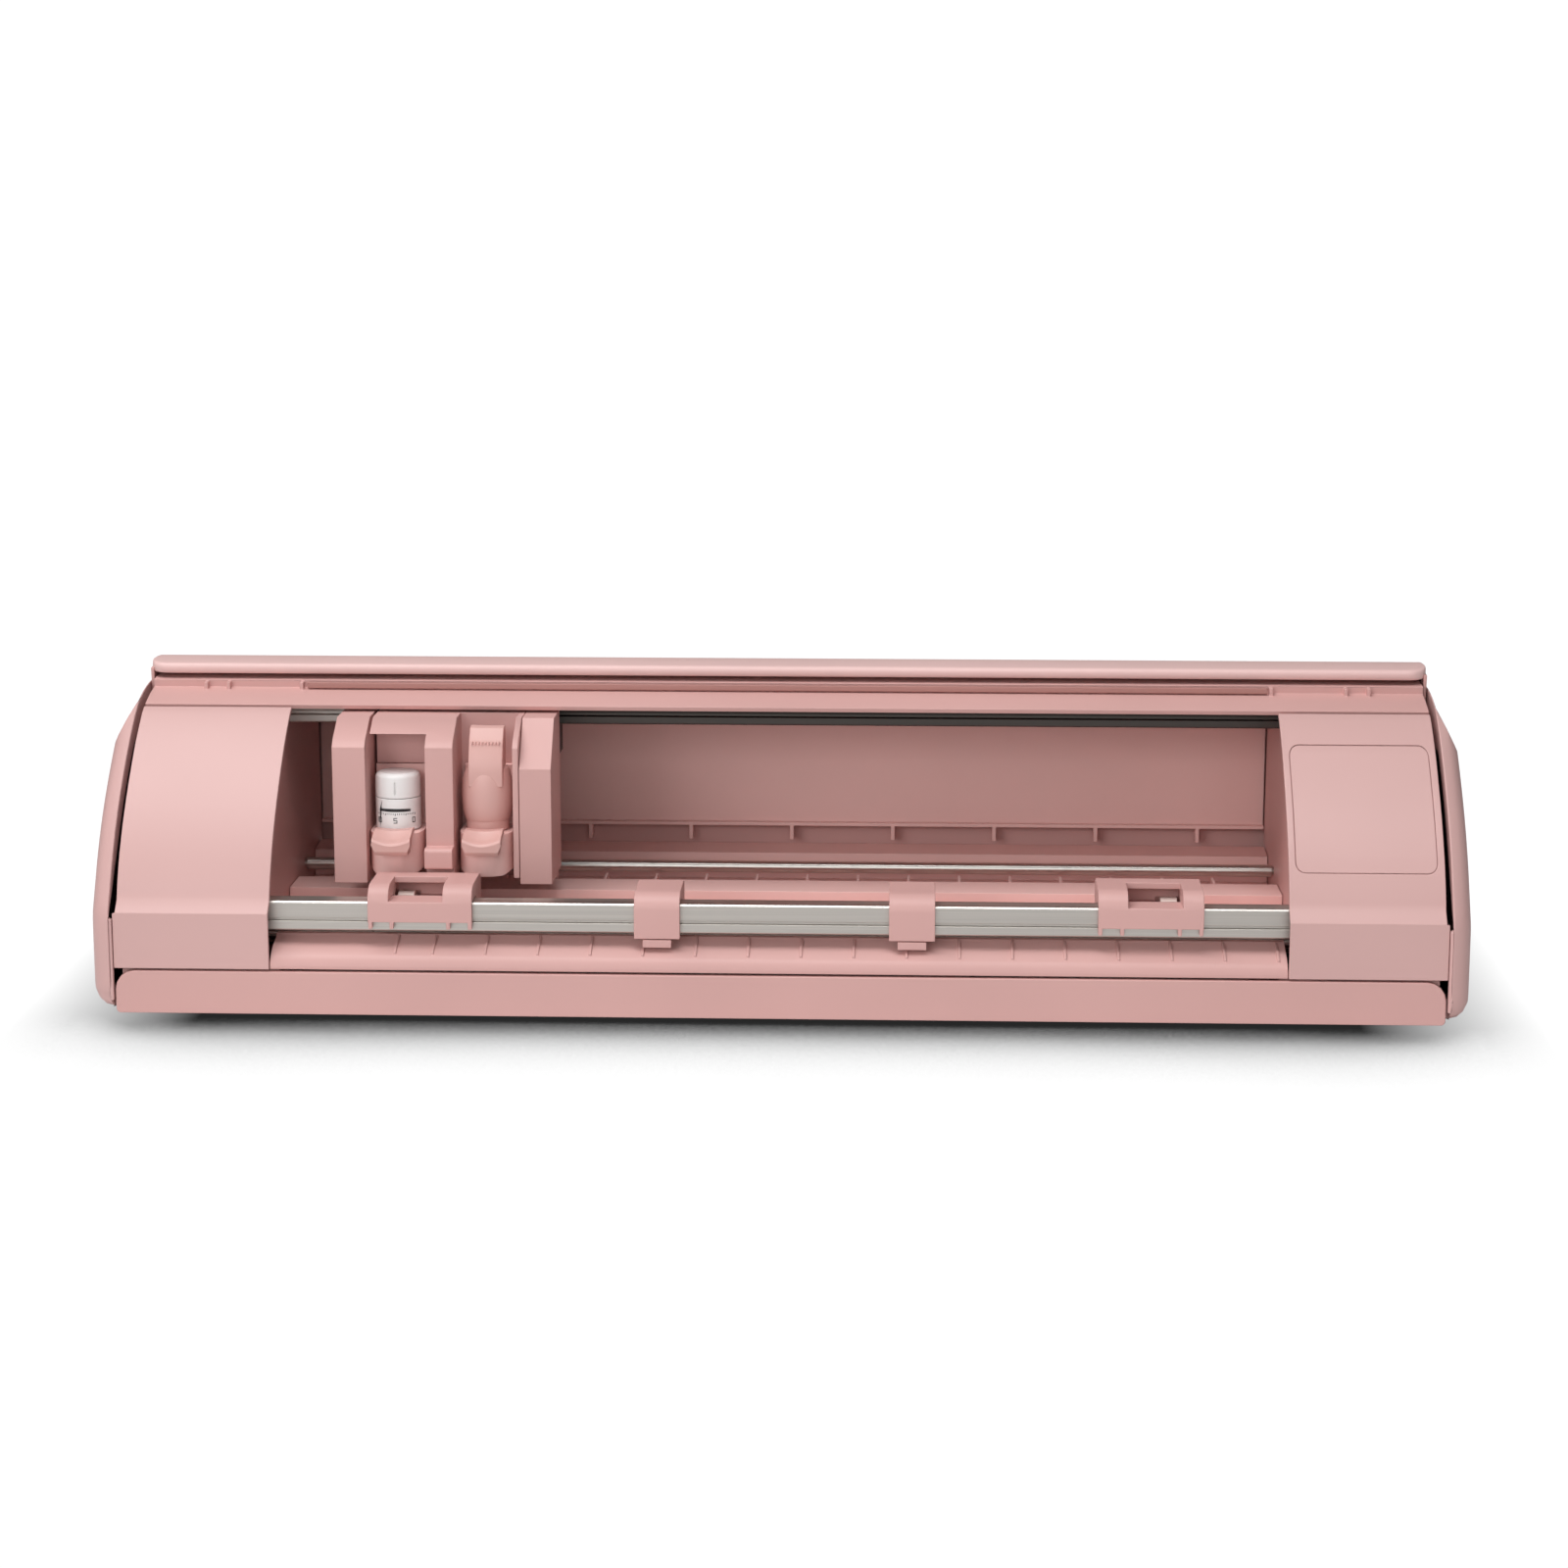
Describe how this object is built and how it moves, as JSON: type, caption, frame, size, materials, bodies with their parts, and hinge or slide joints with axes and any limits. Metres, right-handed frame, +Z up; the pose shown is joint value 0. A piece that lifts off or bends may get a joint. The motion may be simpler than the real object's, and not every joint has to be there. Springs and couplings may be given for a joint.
{
  "type": "vinyl cutter",
  "caption": "Desktop vinyl cutter with a roll-top lid, a twin-tool carriage on a rail, pinch rollers on a bar, side covers and a slide-out roll feeder.",
  "frame": {"origin": "middle of the machine's footprint on the table, with the lid open", "axes": "+X to the right as seen from the front, -Y the front where the sheet is loaded, +Z up"},
  "size_m": [0.644, 0.2107, 0.1535],
  "materials": {
    "pink_plastic": "fine satin moulding",
    "pale_pink_plastic": "fine satin moulding, slightly paler",
    "white_plastic": "satin",
    "brushed_aluminium": "brushed along its length",
    "steel": "ground",
    "dark_plastic": "matte",
    "rubber": "matte",
    "board": "solder mask",
    "roller_plastic": "satin"
  },
  "bodies": {
    "machine": {"base_pan": "pink_plastic", "foot_front_left": "rubber", "foot_front_right": "rubber", "foot_rear_left": "rubber", "foot_rear_right": "rubber", "left_cover": "pink_plastic", "right_cover": "pink_plastic", "touch_panel": "pale_pink_plastic", "left_cap": "pink_plastic", "right_cap": "pink_plastic", "top_beam": "pink_plastic", "beam_strip": "pale_pink_plastic", "rear_cover": "pink_plastic", "rear_wall": "pink_plastic", "left_bulkhead": "pink_plastic", "right_bulkhead": "pink_plastic", "sheet_platform": "pink_plastic", "cutting_strip": "dark_plastic", "front_tray": "pink_plastic", "pinch_bar": "brushed_aluminium", "carriage_rail": "brushed_aluminium", "feed_motor": "dark_plastic", "carriage_motor": "dark_plastic", "drive_belt": "rubber", "control_board": "board", "power_inlet": "dark_plastic", "usb_socket": "steel", "pinch_housing_left": "pink_plastic"},
    "lid": {"lid_shell": "pink_plastic", "lid_arm_left": "pink_plastic", "lid_arm_right": "pink_plastic"},
    "drive_roller": {"drive_roller": "steel", "roller_gear": "roller_plastic"},
    "pinion": {"motor_pinion": "steel"},
    "motor_pulley": {"motor_pulley": "brushed_aluminium"},
    "idler_pulley": {"idler_pulley": "brushed_aluminium"},
    "support_rod": {"support_rod": "brushed_aluminium"},
    "drawer": {"feeder_drawer": "pink_plastic"},
    "feeder_roller_front": {"feeder_roller_front": "roller_plastic"},
    "feeder_roller_rear": {"feeder_roller_rear": "roller_plastic"},
    "right_housing": {"pinch_housing_right": "pink_plastic"},
    "left_pinch_roller": {"pinch_roller_left": "roller_plastic"},
    "right_pinch_roller": {"pinch_roller_right": "roller_plastic"},
    "left_clip": {"middle_clip_left": "pink_plastic"},
    "right_clip": {"middle_clip_right": "pink_plastic"},
    "left_clip_roller": {"clip_roller_left": "roller_plastic"},
    "right_clip_roller": {"clip_roller_right": "roller_plastic"},
    "left_clip_latch": {"clip_latch_left": "pink_plastic"},
    "right_clip_latch": {"clip_latch_right": "pink_plastic"},
    "carriage": {"carriage_frame": "dark_plastic", "carriage_left_cover": "pink_plastic", "carriage_front_cover": "pink_plastic", "carriage_right_cover": "pink_plastic"},
    "holder_1": {"tool_holder_1": "pink_plastic"},
    "holder_2": {"tool_holder_2": "pink_plastic"},
    "lock_1": {"lock_tab_1": "pale_pink_plastic"},
    "lock_2": {"lock_tab_2": "pale_pink_plastic"},
    "blade": {"blade_barrel": "white_plastic"},
    "dial": {"blade_dial": "white_plastic"},
    "adapter": {"tool_adapter": "pale_pink_plastic"}
  },
  "joints": [
    {"name": "lid_hinge", "type": "hinge", "parent": "machine", "child": "lid", "pos_m": [0, 0.008, 0.038], "axis": [1, 0, 0], "range_deg": [0, 75]},
    {"name": "carriage_slide", "type": "slide", "parent": "machine", "child": "carriage", "axis": [1, 0, 0], "range_m": [-0.022, 0.34]},
    {"name": "motor_pulley_spin", "type": "hinge", "parent": "machine", "child": "motor_pulley", "pos_m": [-0.272, 0.024, 0.127], "axis": [0, 0, 1], "range_deg": [-215, 3260]},
    {"name": "idler_pulley_spin", "type": "hinge", "parent": "machine", "child": "idler_pulley", "pos_m": [0.262, 0.024, 0.127], "axis": [0, 0, 1], "range_deg": [-215, 3260]},
    {"name": "tool_1_lower", "type": "slide", "parent": "carriage", "child": "holder_1", "axis": [0, 0, -1], "range_m": [0, 0.0055]},
    {"name": "tool_2_lower", "type": "slide", "parent": "carriage", "child": "holder_2", "axis": [0, 0, -1], "range_m": [0, 0.0055]},
    {"name": "lock_tab_1_pull", "type": "slide", "parent": "holder_1", "child": "lock_1", "axis": [0, -1, 0], "range_m": [0, 0.004]},
    {"name": "lock_tab_2_pull", "type": "slide", "parent": "holder_2", "child": "lock_2", "axis": [0, -1, 0], "range_m": [0, 0.004]},
    {"name": "blade_lift", "type": "slide", "parent": "holder_1", "child": "blade", "axis": [0, 0, 1], "range_m": [0, 0.018]},
    {"name": "blade_dial_turn", "type": "hinge", "parent": "blade", "child": "dial", "pos_m": [-0.1846, -0.042, 0.1], "axis": [0, 0, 1], "range_deg": [-150, 150]},
    {"name": "adapter_lift", "type": "slide", "parent": "holder_2", "child": "adapter", "axis": [0, 0, 1], "range_m": [0, 0.003]},
    {"name": "drive_roller_spin", "type": "hinge", "parent": "machine", "child": "drive_roller", "pos_m": [0, -0.0717, 0.0335], "axis": [1, 0, 0], "continuous": true},
    {"name": "pinion_spin", "type": "hinge", "parent": "machine", "child": "pinion", "pos_m": [-0.259, -0.05269, 0.03685], "axis": [1, 0, 0], "continuous": true},
    {"name": "support_rod_spin", "type": "hinge", "parent": "machine", "child": "support_rod", "pos_m": [0, 0.031, 0.045], "axis": [1, 0, 0], "continuous": true},
    {"name": "right_housing_slide", "type": "slide", "parent": "machine", "child": "right_housing", "axis": [1, 0, 0], "range_m": [-0.055, 0.036]},
    {"name": "left_pinch_roller_spin", "type": "hinge", "parent": "machine", "child": "left_pinch_roller", "pos_m": [-0.1767, -0.0717, 0.0473], "axis": [1, 0, 0], "continuous": true},
    {"name": "right_pinch_roller_spin", "type": "hinge", "parent": "right_housing", "child": "right_pinch_roller", "pos_m": [0.1837, -0.0717, 0.0473], "axis": [1, 0, 0], "continuous": true},
    {"name": "left_clip_slide", "type": "slide", "parent": "machine", "child": "left_clip", "axis": [1, 0, 0], "range_m": [-0.06, 0.03]},
    {"name": "right_clip_slide", "type": "slide", "parent": "machine", "child": "right_clip", "axis": [1, 0, 0], "range_m": [-0.045, 0.015]},
    {"name": "left_clip_roller_spin", "type": "hinge", "parent": "left_clip", "child": "left_clip_roller", "pos_m": [-0.0559, -0.0717, 0.0454], "axis": [1, 0, 0], "continuous": true},
    {"name": "right_clip_roller_spin", "type": "hinge", "parent": "right_clip", "child": "right_clip_roller", "pos_m": [0.0632, -0.0717, 0.0454], "axis": [1, 0, 0], "continuous": true},
    {"name": "left_clip_latch_turn", "type": "hinge", "parent": "left_clip", "child": "left_clip_latch", "pos_m": [-0.0559, -0.0974, 0.0374], "axis": [-1, 0, 0], "range_deg": [0, 38]},
    {"name": "right_clip_latch_turn", "type": "hinge", "parent": "right_clip", "child": "right_clip_latch", "pos_m": [0.0632, -0.0974, 0.0374], "axis": [-1, 0, 0], "range_deg": [0, 38]},
    {"name": "drawer_slide", "type": "slide", "parent": "machine", "child": "drawer", "axis": [0, -1, 0], "range_m": [0, 0.075]},
    {"name": "feeder_roller_front_spin", "type": "hinge", "parent": "drawer", "child": "feeder_roller_front", "pos_m": [0, -0.076, 0.0135], "axis": [1, 0, 0], "continuous": true},
    {"name": "feeder_roller_rear_spin", "type": "hinge", "parent": "drawer", "child": "feeder_roller_rear", "pos_m": [0, -0.042, 0.0135], "axis": [1, 0, 0], "continuous": true}
  ],
  "couplings": [
    {"joint": "motor_pulley_spin", "follows": "carriage_slide", "rad_per_m": 166.67},
    {"joint": "idler_pulley_spin", "follows": "carriage_slide", "rad_per_m": 166.67},
    {"joint": "pinion_spin", "follows": "drive_roller_spin", "ratio": -2.8},
    {"joint": "left_pinch_roller_spin", "follows": "drive_roller_spin", "ratio": -0.8},
    {"joint": "right_pinch_roller_spin", "follows": "drive_roller_spin", "ratio": -0.8},
    {"joint": "left_clip_roller_spin", "follows": "drive_roller_spin", "ratio": -1.0714},
    {"joint": "right_clip_roller_spin", "follows": "drive_roller_spin", "ratio": -1.0714}
  ]
}
